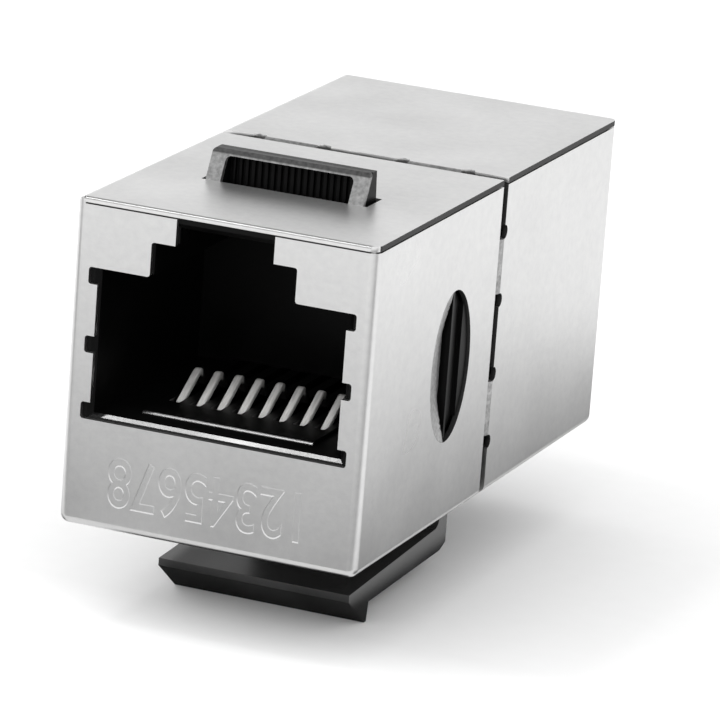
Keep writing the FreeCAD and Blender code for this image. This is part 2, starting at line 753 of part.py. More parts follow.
def lens_lug():
    """Lug that fills the rear half of the lens, with an upright groove, and room for the dish."""
    outside = size["half_width"]
    room_floor = outside - size["dish_depth"] - size["sheet_thickness"] - size["dish_room"]
    start = size["dish_edge"] + size["lug_gap"]
    low = size["case_bottom"]
    high = size["case_top"]
    margin = size["dish_room"] * 2
    reach = size["lens_length"] / 2 + margin
    spread = size["lens_width"] / 2 + margin
    room = block("lens_room", (room_floor, outside),
                 (size["lens_place"] - spread, size["lens_place"] + spread),
                 (size["lens_level"] - reach, size["lens_level"] + reach))
    face = outside - size["lug_sunk"]
    full = lens_prism("lug_full", room_floor - 0.05, face, -size["lug_clearance"])
    behind = block("lug_behind", (outside - 2, outside), (start, size["lens_place"] * 2), (low, high))
    lug = common("lug_half", full, behind)
    groove_start = start + size["lug_rim"]
    groove = block("lug_groove", (face - size["groove_depth"], outside),
                   (groove_start, groove_start + size["groove_width"]),
                   (low, high))
    return room, cut("lens_lug", lug, [groove])


def front_jack_body():
    body = socket_moulding("front_moulding", size["board_front"])
    room, lug = lens_lug()
    pocketed = cut("front_moulding_cut", body, [room, mirrored("lens_room_left", room)])
    final = fuse("front_jack_body", [pocketed, lug, mirrored("lens_lug_left", lug), ribbed_block()])
    finish(final, "front_jack_body")


def rear_jack_body():
    body = socket_moulding("rear_moulding", size["rear_tongue_end"])
    tongue = size["half_width"] - size["tab_reach"]
    span = (size["rear_insert_end"], size["rear_tongue_end"] + 1)
    full = (size["case_bottom"] - 1, size["case_top"] + 1)
    beside = block("side_tab_room", (tongue, size["half_width"]), span, full)
    above = block("top_tab_room", (-size["half_width"], size["half_width"]), span,
                  (size["case_top"] - size["tab_reach"], size["case_top"] + 1))
    neck = size["shell_length"] - size["neck_middle"]
    reach = size["latch_width"] / 2 + size["latch_end_gap"]
    seat = rod("bead_seat", "x", size["bead_radius"] + size["bead_clearance"],
               (-reach, neck, size["bead_level"]), reach * 2)
    room = size["neck_thickness"] / 2 + size["neck_room"]
    throat = block("neck_slot", (-reach, reach), (neck - room, neck + room),
                   (size["case_bottom"], size["bead_level"]))
    rooms = [beside, mirrored("side_tab_room_left", beside), above]
    final = cut("rear_jack_body", body, [seat, throat] + rooms)
    finish(final, "rear_jack_body", rear=True)


# ---------------------------------------------------------------- contacts, carriers and board

def pin_places():
    """Sideways place and tail height of each contact, odd ones in the upper row."""
    middle = (CONTACTS + 1) / 2
    return [(size["pin_pitch"] * (number - middle), size["upper_row" if number % 2 else "lower_row"])
            for number in range(1, CONTACTS + 1)]


def contact_comb(label, end, rear):
    """Contact carrier: a slab with one slot a wire, solid across its front."""
    body = new_body(label + "_carrier")
    half = size["carrier_width"] / 2
    front = size["carrier_front"]
    slab = sketch(body, "XZ_Plane", label + "_slab", -front)
    draw(slab, rectangle(-half, half, size["carrier_bottom"], size["carrier_top"]))
    solid = pad(body, slab, end - front)

    def front_top(box):
        at_front = near(box.YMin, front.number) and near(box.YMax, front.number)
        return at_front and near(box.ZMin, size["carrier_top"].number)

    dress_edges(body, "Chamfer", solid, edges_where(solid, front_top), "Size", size["carrier_chamfer"])
    half_slot = size["slot_width"] / 2
    slots = [block("%s_slot_%d" % (label, number), (place - half_slot, place + half_slot),
                   (size["slot_front"], end + 1),
                   (row - size["wire_thickness"] / 2, size["carrier_top"] + 1))
             for number, (place, row) in enumerate(pin_places(), start=1)]
    finish(cut(label, body, slots), label, rear=rear)


def contact(label, place, row, tail_end, rear):
    """One contact: tail, front bend, rising spring, crest and tip, swept in one wire."""
    body = new_body(label)
    path = sketch(body, "YZ_Plane", label + "_path")
    draw(path, [(tail_end, row), (size["bend_place"], row), (size["bend_place"], size["bend_level"]),
                (size["crest_place"], size["crest_level"]), (size["tip_place"], size["tip_level"])],
         closed=False)
    half = size["wire_width"] / 2
    deep = size["wire_thickness"] / 2
    section = sketch(body, "XZ_Plane", label + "_section", -tail_end)
    draw(section, rectangle(-half, half, row - deep, row + deep))
    wire = body.newObject("PartDesign::AdditivePipe", label + "_wire")
    wire.Profile = section
    wire.Spine = (path, [])
    wire.Transition = "Round corner"
    finish(body, label, rear=rear, shift=place)


def contacts():
    front_tail = size["board_rear"] - size["tail_inset"]
    rear_tail = size["shell_length"] - size["board_front"] - size["tail_inset"]
    for number, (place, row) in enumerate(pin_places(), start=1):
        contact("front_contact_%d" % number, place, row, front_tail, rear=False)
        contact("rear_contact_%d" % number, place, row, rear_tail, rear=True)


def circuit_board():
    """Board at the seam, with a hole for each of the sixteen tails."""
    half = size["insert_half"] - size["board_side_room"]
    blank = block("board_blank", (-half, half), (size["board_front"], size["board_rear"]),
                  (size["insert_bottom"] + size["board_end_room"],
                   size["insert_top"] - size["board_end_room"]))
    holes = []
    for place, row in pin_places():
        for side, middle in (("front", place), ("rear", -place)):
            start = (middle, size["board_front"] - 1, row)
            holes.append(rod("%s_pin_hole_%d" % (side, len(holes)), "y", size["board_hole"], start,
                             size["board_thickness"] + 2))
    finish(cut("circuit_board", blank, holes), "circuit_board")


# ---------------------------------------------------------------- latch

def panel_latch():
    """Latch arm with its hook, the neck that carries it and the round root in the case."""
    body = new_body("latch_arm")
    case = size["case_bottom"]
    nose_top = case - size["arm_drop"]
    heel_top = case - size["heel_drop"]
    hook_low = case - size["hook_drop"]
    arm_low = nose_top - size["arm_thickness"]
    heel_low = heel_top - size["heel_height"]
    heel = size["arm_rear"]
    neck_front = heel - size["neck_thickness"]
    side = sketch(body, "YZ_Plane", "latch_side")
    draw(side, [
        (size["arm_front"], nose_top), (size["arm_front"], nose_top - size["nose_height"]),
        (size["hook_front"], hook_low), (size["hook_front"] + size["hook_flat"], hook_low),
        (size["hook_back"], arm_low), (heel - size["heel_chamfer"], arm_low + 0.15),
        (heel, heel_low), (heel, size["bead_level"]),
        (neck_front, size["bead_level"]), (neck_front, heel_top - 0.04),
    ])
    solid = pad(body, side, size["latch_width"], midplane=True)

    def inside_corner(box):
        return box.XLength > 1 and near(box.YMin, neck_front.number) and near(
            box.ZMin, heel_top.number - 0.04)

    dress_edges(body, "Fillet", solid, edges_where(solid, inside_corner), "Radius", size["neck_round"])
    reach = size["latch_width"] / 2
    bead = rod("latch_bead", "x", size["bead_radius"],
               (-reach, size["neck_middle"], size["bead_level"]), size["latch_width"])
    finish(fuse("panel_latch", [body, bead]), "panel_latch")


# ---------------------------------------------------------------- checks and export

def check_document():
    """Stop if any object failed, or if a sub-part is empty, broken or in more than one piece."""
    for item in doc.Objects:
        if "Invalid" in item.State or "Error" in item.State:
            raise RuntimeError("%s failed: %s" % (item.Name, item.State))
    for part in sub_parts:
        shape = part.Shape
        if shape.isNull() or not shape.isValid() or len(shape.Solids) != 1:
            raise RuntimeError("%s is not one sound solid" % part.Label)


def export():
    os.makedirs(PARTS_FOLDER, exist_ok=True)
    for part in sub_parts:
        part.Shape.exportStep(os.path.join(PARTS_FOLDER, part.Label + ".step"))


fill_sheet()
places()
front_shell()
rear_shell()
front_jack_body()
rear_jack_body()
contact_comb("front_contact_comb", size["board_front"], rear=False)
contact_comb("rear_contact_comb", size["rear_tongue_end"], rear=True)
contacts()
circuit_board()
panel_latch()
doc.recompute()
check_document()
export()
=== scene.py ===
"""Looks of an RJ45 inline coupler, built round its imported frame.

Every length is in metres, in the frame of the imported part: the origin is the middle of the front
plug way on the front face, +Y runs to the rear face, +Z is up and +X is to the right.
"""
import logging
import math
from dataclasses import dataclass
from enum import Enum, IntEnum
from typing import Any, Callable, Iterable

import bmesh
import bpy
from mathutils import Matrix, Vector


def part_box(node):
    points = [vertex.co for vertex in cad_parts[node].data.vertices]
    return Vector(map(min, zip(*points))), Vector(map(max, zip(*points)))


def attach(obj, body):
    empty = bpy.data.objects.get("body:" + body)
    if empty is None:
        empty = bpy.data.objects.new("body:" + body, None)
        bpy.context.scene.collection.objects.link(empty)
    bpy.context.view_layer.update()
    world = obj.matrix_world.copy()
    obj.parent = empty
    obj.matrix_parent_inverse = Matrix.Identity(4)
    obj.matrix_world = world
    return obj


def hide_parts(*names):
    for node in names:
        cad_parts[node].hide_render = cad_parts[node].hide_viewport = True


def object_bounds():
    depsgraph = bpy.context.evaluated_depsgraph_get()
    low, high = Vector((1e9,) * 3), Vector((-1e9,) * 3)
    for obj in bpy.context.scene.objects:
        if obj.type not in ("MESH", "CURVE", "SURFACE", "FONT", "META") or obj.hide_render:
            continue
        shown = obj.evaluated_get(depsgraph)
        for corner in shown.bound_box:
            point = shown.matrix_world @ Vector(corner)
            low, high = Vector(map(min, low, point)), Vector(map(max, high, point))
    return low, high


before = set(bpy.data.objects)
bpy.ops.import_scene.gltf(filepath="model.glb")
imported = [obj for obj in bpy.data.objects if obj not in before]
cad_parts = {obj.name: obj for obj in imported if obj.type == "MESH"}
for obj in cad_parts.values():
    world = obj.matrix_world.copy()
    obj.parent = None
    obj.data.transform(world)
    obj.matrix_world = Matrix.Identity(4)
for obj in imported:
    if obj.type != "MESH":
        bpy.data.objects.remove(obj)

CAD_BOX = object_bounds()
LOG = logging.getLogger("coupler")
MM = 0.001
WHITE = (1.0, 1.0, 1.0, 1.0)
ONE_PLANE = 0.2  # degrees between faces that are shaded as one flat
FLAT_LEAD = 100  # how much a large face outweighs its broken edges in shading

Colour = tuple[float, float, float]
Point = tuple[float, float, float]
Term = bpy.types.NodeSocket | float


def grey(level: float) -> Colour:
    """Neutral colour of one level."""
    return (level, level, level)


class End(Enum):
    """The two ends of the coupler, each with its own socket."""

    FRONT = "front"
    REAR = "rear"


class Slot(Enum):
    """Material slots of the record."""

    CASE = "case_metal"
    SOCKET = "socket_plastic"
    CARRIER = "carrier_plastic"
    CONTACT = "contact_metal"
    BOARD = "board"
    LATCH = "latch_plastic"


class Surface(IntEnum):
    """Material indices of a metal case, in the order in which it takes its finishes."""

    NICKEL = 0
    # painted shade: near-black on cut edges and lens openings
    CUT_EDGE = 1
    # formed parts: darker nickel, partly their own, partly painted shade
    FORMED_AND_SHADE = 2
    # painted light: paler nickel on the top panel
    PANEL = 3


class Body(Enum):
    """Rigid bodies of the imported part."""

    HOUSING = "housing"
    LATCH = "latch"


# ---- finishes


class NodeWork:
    """Short calls for adding and joining the nodes of a tree."""

    def __init__(self, tree: bpy.types.NodeTree) -> None:
        """Start work on a node tree."""
        self.tree = tree

    def add(self, kind: str, **settings: Any) -> bpy.types.Node:
        """Add a node.

        Args:
            kind: the node's type.
            **settings: properties of the node to set.

        Returns:
            The new node.
        """
        node = self.tree.nodes.new(kind)
        for key, value in settings.items():
            setattr(node, key, value)
        return node

    def join(self, source: bpy.types.NodeSocket, target: bpy.types.NodeSocket) -> None:
        """Link an output to an input."""
        self.tree.links.new(source, target)

    def feed(self, value: Term, target: bpy.types.NodeSocket) -> None:
        """Link an output to an input, or set the input to a number.

        Args:
            value: the output or the number.
            target: the input.
        """
        if isinstance(value, bpy.types.NodeSocket):
            self.join(value, target)
        else:
            target.default_value = value

    def spread(self, factor: bpy.types.NodeSocket, low: float, high: float,
               start: float = 0.3, stop: float = 0.7) -> bpy.types.NodeSocket:
        """Stretch a factor onto a range of values.

        Args:
            factor: the factor to stretch.
            low: value at and under start.
            high: value at and over stop.
            start: lowest factor that counts.
            stop: highest factor that counts.

        Returns:
            The stretched value.
        """
        node = self.add("ShaderNodeMapRange", clamp=True)
        for socket, value in (("From Min", start), ("From Max", stop),
                              ("To Min", low), ("To Max", high)):
            node.inputs[socket].default_value = value
        self.join(factor, node.inputs["Value"])
        return node.outputs["Result"]

    def math(self, operation: str, *values: Term) -> bpy.types.NodeSocket:
        """Work out a sum on sockets and numbers.

        Args:
            operation: the math node's operation.
            *values: its terms, in order.

        Returns:
            The result.
        """
        node = self.add("ShaderNodeMath", operation=operation)
        for term, value in zip(node.inputs, values):
            self.feed(value, term)
        return node.outputs[0]

    def mix(self, factor: Term, first: Term, second: Term) -> bpy.types.NodeSocket:
        """Mix two numbers by a factor.

        Args:
            factor: 0 for the first number, 1 for the second.
            first: the first number.
            second: the second number.

        Returns:
            The mixed number.
        """
        node = self.add("ShaderNodeMix")
        for label, value in (("Factor", factor), ("A", first), ("B", second)):
            self.feed(value, node.inputs[label])
        return node.outputs["Result"]


class Shading(NodeWork):
    """A material's node tree, with its patterns and reliefs."""

    def __init__(self, name: str) -> None:
        """Start a material with one Principled shader.

        Args:
            name: the material's name.
        """
        self.material = bpy.data.materials.new(name)
        self.material.use_nodes = True
        super().__init__(self.material.node_tree)
        self.shader = self.tree.nodes["Principled BSDF"]
        self.place = self.add("ShaderNodeTexCoord").outputs["Object"]

    def noise(self, scale: float, detail: float = 3.0, roughness: float = 0.5,
              stretch: Point = (1.0, 1.0, 1.0)) -> bpy.types.NodeSocket:
        """Noise over the piece's own coordinates.

        Args:
            scale: cells to a metre.
            detail: octaves.
            roughness: strength of the finer octaves.
            stretch: scale along each axis, for a grain with a direction.

        Returns:
            The noise's factor output.
        """
        mapping = self.add("ShaderNodeMapping")
        mapping.inputs["Scale"].default_value = stretch
        texture = self.add("ShaderNodeTexNoise")
        texture.inputs["Scale"].default_value = scale
        texture.inputs["Detail"].default_value = detail
        texture.inputs["Roughness"].default_value = roughness
        self.join(self.place, mapping.inputs["Vector"])
        self.join(mapping.outputs["Vector"], texture.inputs["Vector"])
        return texture.outputs["Fac"]

    @staticmethod
    def colours(sockets: Iterable[bpy.types.NodeSocket]) -> list[bpy.types.NodeSocket]:
        """Pick a node's colour sockets out of its inputs or outputs."""
        return [socket for socket in sockets if socket.type == "RGBA"]

    def blend(self, factor: bpy.types.NodeSocket, first: Colour,
              second: Colour) -> bpy.types.NodeSocket:
        """Blend two colours by a factor.

        Args:
            factor: 0 for the first colour, 1 for the second.
            first: the first colour.
            second: the second colour.

        Returns:
            The blended colour.
        """
        node = self.add("ShaderNodeMix", data_type="RGBA")
        for socket, colour in zip(self.colours(node.inputs), (first, second)):
            socket.default_value = (*colour, 1.0)
        self.join(factor, node.inputs["Factor"])
        return self.colours(node.outputs)[0]

    def along(self, axis: str) -> bpy.types.NodeSocket:
        """Place along one of the piece's own axes.

        Args:
            axis: X, Y or Z.

        Returns:
            The coordinate, in metres.
        """
        split = self.add("ShaderNodeSeparateXYZ")
        self.join(self.place, split.inputs["Vector"])
        return split.outputs[axis]

    def scaled(self, colour: bpy.types.NodeSocket,
               share: bpy.types.NodeSocket) -> bpy.types.NodeSocket:
        """Darken a colour by a share.

        Args:
            colour: the colour.
            share: 1 keeps it, 0 makes it black.

        Returns:
            The darkened colour.
        """
        node = self.add("ShaderNodeVectorMath", operation="SCALE")
        self.join(colour, node.inputs[0])
        self.join(share, node.inputs["Scale"])
        return node.outputs["Vector"]

    def bump(self, height: bpy.types.NodeSocket, distance: float, strength: float,
             under: bpy.types.NodeSocket | None = None) -> bpy.types.NodeSocket:
        """Raise the surface by a height.

        Args:
            height: the height field.
            distance: depth of the relief in metres.
            strength: share of the relief that shows.
            under: a normal that this relief lies on.

        Returns:
            The bent normal.
        """
        node = self.add("ShaderNodeBump")
        node.inputs["Distance"].default_value = distance
        node.inputs["Strength"].default_value = strength
        self.join(height, node.inputs["Height"])
        if under is not None:
            self.join(under, node.inputs["Normal"])
        return node.outputs["Normal"]


@dataclass(frozen=True)
class SatinNickel:
    """Sheet steel with a satin nickel plate: a fine mottle and faint rolling lines.

    Above the height dark_over the plate goes dark; the default is far above the coupler.
    """

    name: str = "satin_nickel"
    pale: Colour = (0.86, 0.86, 0.855)
    dull: Colour = (0.80, 0.80, 0.80)
    smooth: float = 0.27
    rough: float = 0.35
    mottle_scale: float = 2400.0
    dark_over: float = 1.0
    dark_share: float = 0.30
    dark_edge: float = 0.03 * MM
    mottle_depth: float = 0.000012
    cloud_scale: float = 160.0
    rolled_scale: float = 5200.0
    rolled_stretch: Point = (1.0, 0.06, 1.0)
    rolled_depth: float = 0.000004

    def material(self) -> bpy.types.Material:
        """Build the material.

        Returns:
            The satin nickel material.
        """
        look = Shading(self.name)
        mottle = look.noise(self.mottle_scale, detail=4.0, roughness=0.6)
        clouds = look.noise(self.cloud_scale, detail=2.0)
        rolled = look.noise(self.rolled_scale, detail=2.0, stretch=self.rolled_stretch)
        tone = look.spread(look.along("Z"), 1.0, self.dark_share,
                           self.dark_over - self.dark_edge, self.dark_over + self.dark_edge)
        plate = look.blend(look.spread(mottle, 0.0, 1.0), self.dull, self.pale)
        look.join(look.scaled(plate, tone), look.shader.inputs["Base Color"])
        look.join(look.spread(clouds, self.smooth, self.rough), look.shader.inputs["Roughness"])
        grain = look.bump(mottle, self.mottle_depth, strength=0.5)
        lines = look.bump(rolled, self.rolled_depth, strength=0.4, under=grain)
        look.join(lines, look.shader.inputs["Normal"])
        look.shader.inputs["Metallic"].default_value = 1.0
        return look.material


@dataclass(frozen=True)
class MouldedPlastic:
    """Black moulded plastic with a fine spark-eroded grain.

    Under the height dull_under it is matt; the default is far under the coupler.
    """

    name: str = "black_moulding"
    deep: Colour = (0.004, 0.004, 0.004)
    lighter: Colour = (0.010, 0.010, 0.0105)
    smooth: float = 0.36
    rough: float = 0.50
    grain_scale: float = 4200.0
    grain_depth: float = 0.000008
    shine: float = 0.5
    dull_under: float = -1.0
    dull_edge: float = 0.01 * MM
    dull_rough: float = 0.9
    flow_scale: float = 240.0

    def material(self) -> bpy.types.Material:
        """Build the material.

        Returns:
            The black plastic material.
        """
        look = Shading(self.name)
        grain = look.noise(self.grain_scale, roughness=0.55)
        flow = look.noise(self.flow_scale, detail=2.0)
        look.join(look.blend(look.spread(flow, 0.0, 1.0), self.deep, self.lighter),
                  look.shader.inputs["Base Color"])
        dull = look.spread(look.along("Z"), self.dull_rough, 0.0,
                           self.dull_under - self.dull_edge, self.dull_under + self.dull_edge)
        look.join(look.math("MAXIMUM", look.spread(flow, self.smooth, self.rough), dull),
                  look.shader.inputs["Roughness"])
        look.join(look.bump(grain, self.grain_depth, strength=0.5), look.shader.inputs["Normal"])
        look.shader.inputs["Specular IOR Level"].default_value = self.shine
        return look.material


@dataclass(frozen=True)
class SpringPlate:
    """Pale plate on the contact wires, drawn lengthwise.

    Both spans are distances from the coupler's middle. Nearer than the first, the wire is dark:
    painted shade. Across the second, the plate grows brighter towards the ends: painted light.
    """

    name: str = "contact_plate"
    pale: Colour = (0.94, 0.93, 0.91)
    warm: Colour = (0.68, 0.67, 0.65)
    middle: float = 15.0 * MM
    painted_shade_span: tuple[float, float] = (8.50 * MM, 8.62 * MM)
    painted_shade_tone: float = 0.02
    lighter: tuple[float, float] = (8.7 * MM, 10.6 * MM)
    painted_light_tones: tuple[float, float] = (0.5, 1.12)
    smooth: float = 0.38
    rough: float = 0.50
    drawn_scale: float = 9000.0
    drawn_stretch: Point = (1.0, 0.05, 0.3)
    drawn_depth: float = 0.000002
    metal: float = 0.15

    def material(self) -> bpy.types.Material:
        """Build the material.

        Returns:
            The contact plate material.
        """
        look = Shading(self.name)
        drawn = look.noise(self.drawn_scale, detail=2.0, stretch=self.drawn_stretch)
        away = look.math("ABSOLUTE", look.math("SUBTRACT", look.along("Y"), self.middle))
        # painted shade past the contact's crest, painted light growing towards the socket's mouth
        painted_light_and_shade = look.math("MULTIPLY", look.spread(away, self.painted_shade_tone, 1.0, *self.painted_shade_span),
                           look.spread(away, *self.painted_light_tones, *self.lighter))
        plate = look.blend(look.spread(drawn, 0.0, 1.0), self.warm, self.pale)
        look.join(look.scaled(plate, painted_light_and_shade), look.shader.inputs["Base Color"])
        look.join(look.spread(drawn, self.smooth, self.rough), look.shader.inputs["Roughness"])
        look.join(look.bump(drawn, self.drawn_depth, strength=0.4), look.shader.inputs["Normal"])
        look.shader.inputs["Metallic"].default_value = self.metal
        return look.material


@dataclass(frozen=True)
class SolderMask:
    """Dark green lacquer over a glass-fibre board, with the weave faint under it."""

    name: str = "solder_mask"
    deep: Colour = (0.006, 0.035, 0.016)
    light: Colour = (0.012, 0.060, 0.026)
    roughness: float = 0.3
    weave_scale: float = 3600.0
    weave_stretch: Point = (1.0, 1.0, 0.25)
    weave_depth: float = 0.000005

    def material(self) -> bpy.types.Material:
        """Build the material.

        Returns:
            The solder mask material.
        """
        look = Shading(self.name)
        weave = look.noise(self.weave_scale, detail=1.0, roughness=0.4,
                           stretch=self.weave_stretch)
        look.join(look.blend(look.spread(weave, 0.0, 1.0), self.deep, self.light),
                  look.shader.inputs["Base Color"])
        look.join(look.bump(weave, self.weave_depth, strength=0.4), look.shader.inputs["Normal"])
        look.shader.inputs["Roughness"].default_value = self.roughness
        return look.material


@dataclass(frozen=True)
class FloorPaper:
    """White floor that keeps the shadow; mirror-like finishes see it with painted shade towards the
    coupler.

    Attributes:
        name: the material's name.
        colour: the paper's colour.
        roughness: its roughness; it has no gloss.
        tooth_scale: cells of the paper's faint tooth to a metre.
        tooth_tone: the tooth's darkest share of the colour.
        lift: painted glow that only the camera sees, beside and behind the coupler.
        front_lift: the same painted glow, as painted light on the shadow in front of the coupler.
        front_lift_place: where along Y the front glow stops and where lift is reached.
        half_width: half of the coupler's width, from which the side distances count.
        rear: place along Y from which the distance behind the coupler counts.
        side_fade: distances beside the coupler at which its painted reflection is black and white.
        front_fade: the same in front of it.
        front_blend: distance over which the side fade gives way to the front fade.
        side_ring: span of the painted lit strip beside the coupler.
        front_ring: span of the painted lit strip in front of it.
        ring_edge: width of a strip's soft edge.
        ring_level: a strip's brightness.
    """

    name: str = "floor_paper"
    colour: Colour = (0.90, 0.90, 0.90)
    roughness: float = 0.9
    tooth_scale: float = 900.0
    tooth_tone: float = 0.99
    lift: float = 0.0
    front_lift: float = 0.18
    front_lift_place: tuple[float, float] = (-1.0 * MM, 6.0 * MM)
    half_width: float = 7.25 * MM
    rear: float = 48.0 * MM
    side_fade: tuple[float, float] = (1.5 * MM, 21.0 * MM)
    front_fade: tuple[float, float] = (-12.0 * MM, 74.0 * MM)
    front_blend: float = 12.0 * MM
    side_ring: tuple[float, float] = (-1.2 * MM, 3.2 * MM)
    front_ring: tuple[float, float] = (-1.0 * MM, 8.5 * MM)
    ring_edge: float = 0.8 * MM
    ring_level: float = 0.8

    def ring(self, look: Shading, place: bpy.types.NodeSocket,
             span: tuple[float, float]) -> bpy.types.NodeSocket:
        """A painted lit strip of floor next to the coupler, seen only by its lowest faces.

        Args:
            look: the material being built.
            place: distance across the strip.
            span: where the strip starts and stops.

        Returns:
            The strip's brightness.
        """
        start, stop = span
        rise = look.spread(place, 0.0, self.ring_level, start, start + self.ring_edge)
        fall = look.spread(place, 1.0, 0.0, stop - self.ring_edge, stop)
        return look.math("MULTIPLY", rise, fall)

    def painted_reflection(self, look: Shading) -> bpy.types.NodeSocket:
        """How bright the floor is painted for reflections: it falls off towards the coupler.

        Args:
            look: the material being built.

        Returns:
            The painted brightness: 0 by the coupler, but for the lit strips, and 1 well away.
        """
        beside = look.math("SUBTRACT", look.math("ABSOLUTE", look.along("X")), self.half_width)
        behind = look.math("SUBTRACT", look.along("Y"), self.rear)
        ahead = look.math("MULTIPLY", look.along("Y"), -1.0)
        gaps = look.add("ShaderNodeCombineXYZ")
        look.join(look.math("MAXIMUM", beside, 0.0), gaps.inputs["X"])
        look.join(look.math("MAXIMUM", behind, 0.0), gaps.inputs["Y"])
        away = look.add("ShaderNodeVectorMath", operation="LENGTH")
        look.join(gaps.outputs["Vector"], away.inputs[0])
        side = look.spread(away.outputs["Value"], 0.0, 1.0, *self.side_fade)
        front = look.spread(ahead, 0.0, 1.0, *self.front_fade)
        side = look.math("MAXIMUM", side, self.ring(look, beside, self.side_ring))
        whole = look.mix(look.spread(ahead, 0.0, 1.0, 0.0, self.front_blend), side, front)
        return look.math("MAXIMUM", whole, self.ring(look, ahead, self.front_ring))

    def material(self) -> bpy.types.Material:
        """Build the material.

        Returns:
            The floor material.
        """
        look = Shading(self.name)
        tooth = look.noise(self.tooth_scale, detail=2.0)
        rays = look.add("ShaderNodeLightPath").outputs
        mirrored = look.math("MAXIMUM", rays["Is Glossy Ray"], rays["Is Transmission Ray"])
        plain = look.math("SUBTRACT", 1.0, mirrored)
        shade = look.math("MULTIPLY", look.spread(tooth, 1.0, self.tooth_tone), plain)
        paper = look.add("ShaderNodeMix", data_type="RGBA", blend_type="MULTIPLY")
        paper.inputs["Factor"].default_value = 1.0
        sheet, shaded = look.colours(paper.inputs)
        sheet.default_value = (*self.colour, 1.0)
        look.join(shade, shaded)
        look.join(look.colours(paper.outputs)[0], look.shader.inputs["Base Color"])
        look.shader.inputs["Roughness"].default_value = self.roughness
        look.shader.inputs["Specular IOR Level"].default_value = 0.0
        # painted light: for the camera the floor glows brighter in front of the coupler
        lift = look.spread(look.along("Y"), self.front_lift, self.lift, *self.front_lift_place)
        seen = look.math("MULTIPLY", rays["Is Camera Ray"], lift)
        # painted reflection: glossy rays see the painted fade, not the floor's lit colour
        glow = look.math("ADD", look.math("MULTIPLY", self.painted_reflection(look), mirrored), seen)
        look.shader.inputs["Emission Color"].default_value = WHITE
        look.join(glow, look.shader.inputs["Emission Strength"])
        return look.material


# ---- mesh work


def new_object(name: str, data: bpy.types.ID) -> bpy.types.Object:
    """Put a mesh, curve, lamp or camera into the scene as an object at the origin.

    Args:
        name: the object's name.
        data: what it holds.

    Returns:
        The new object.
    """
    piece = bpy.data.objects.new(name, data)
    bpy.context.scene.collection.objects.link(piece)
    return piece


def bake_modifiers(piece: bpy.types.Object) -> None:
    """Turn an object's modifiers into its own plain mesh.

    Args:
        piece: the object, whose modifiers are removed.
    """
    graph = bpy.context.evaluated_depsgraph_get()
    result = bpy.data.meshes.new_from_object(piece.evaluated_get(graph))
    piece.modifiers.clear()
    piece.data = result
    result.name = piece.name


def smooth_between(piece: bpy.types.Object, degrees: float,
                   creased: Callable[[bpy.types.MeshPolygon], bool] | None = None) -> None:
    """Shade smooth wherever two faces meet at less than an angle, with the flats kept flat.

    Args:
        piece: the piece to shade.
        degrees: the largest angle that stays smooth.
        creased: tells the faces whose edges all stay sharp.
    """
    if "custom_normal" in piece.data.attributes:
        piece.data.attributes.remove(piece.data.attributes["custom_normal"])
    piece.data.shade_smooth()
    piece.data.set_sharp_from_angle(angle=math.radians(degrees))
    if creased is not None:
        sharp = {key for face in piece.data.polygons if creased(face) for key in face.edge_keys}
        for edge in piece.data.edges:
            if edge.key in sharp:
                edge.use_edge_sharp = True
    flats = piece.modifiers.new("flat faces lead", "WEIGHTED_NORMAL")
    flats.weight = FLAT_LEAD
    flats.keep_sharp = True
    bake_modifiers(piece)


def join_flats(piece: bpy.types.Object) -> None:
    """Join faces that lie in one plane, so that each flat counts whole when it is shaded.

    Args:
        piece: the piece to clear.
    """
    sheet = bmesh.new()
    sheet.from_mesh(piece.data)
    bmesh.ops.dissolve_limit(sheet, angle_limit=math.radians(ONE_PLANE), verts=sheet.verts,
                             edges=sheet.edges, use_dissolve_boundaries=False)
    sheet.to_mesh(piece.data)
    sheet.free()


@dataclass(frozen=True)
class EdgeSoftening:
    """How a pressed or moulded piece's sharp edges are broken.

    Attributes:
        width: width of a broken edge.
        segments: facets across it.
        angle: the least angle of an edge that is broken, in degrees.
        weld: points closer than this are made one.
        sliver: edges shorter than this are closed.
        plane: the most that one flat's triangles lean to each other, in degrees.
        smooth_under: the largest angle that is shaded smooth, in degrees.
    """

    width: float
    segments: int
    angle: float
    weld: float = 0.001 * MM
    sliver: float = 0.0005 * MM
    plane: float = 0.5
    smooth_under: float = 40.0

    def welded_copy(self, node: str, name: str) -> bpy.types.Object:
        """Copy a CAD node, join its loose triangles and divide its flat faces cleanly.

        Args:
            node: the CAD node.
            name: the new piece's name.

        Returns:
            The new piece, with sharp edges.
        """
        sheet = bmesh.new()
        sheet.from_mesh(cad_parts[node].data)
        bmesh.ops.remove_doubles(sheet, verts=sheet.verts, dist=self.weld)
        bmesh.ops.dissolve_degenerate(sheet, edges=sheet.edges, dist=self.sliver)
        bmesh.ops.dissolve_limit(sheet, angle_limit=math.radians(self.plane), verts=sheet.verts,
                                 edges=sheet.edges, use_dissolve_boundaries=False)
        wide = [face for face in sheet.faces if len(face.verts) > 4]
        bmesh.ops.triangulate(sheet, faces=wide, quad_method="BEAUTY", ngon_method="BEAUTY")
        mesh = bpy.data.meshes.new(name)
        sheet.to_mesh(mesh)
        sheet.free()
        return new_object(name, mesh)

    def soften(self, piece: bpy.types.Object) -> None:
        """Round the piece's sharp edges a little and shade it.

        Args:
            piece: the piece to finish.
        """
        bevel = piece.modifiers.new("broken edges", "BEVEL")
        bevel.width = self.width
        bevel.segments = self.segments
        bevel.limit_method = "ANGLE"
        bevel.angle_limit = math.radians(self.angle)
        bevel.use_clamp_overlap = True
        bevel.miter_outer = "MITER_ARC"
        bake_modifiers(piece)
        join_flats(piece)
        smooth_between(piece, self.smooth_under)


def dress(piece: bpy.types.Object, finish: bpy.types.Material) -> None:
    """Give a piece one material all over.

    Args:
        piece: the piece.
        finish: its material.
    """
    piece.data.materials.clear()
    piece.data.materials.append(finish)


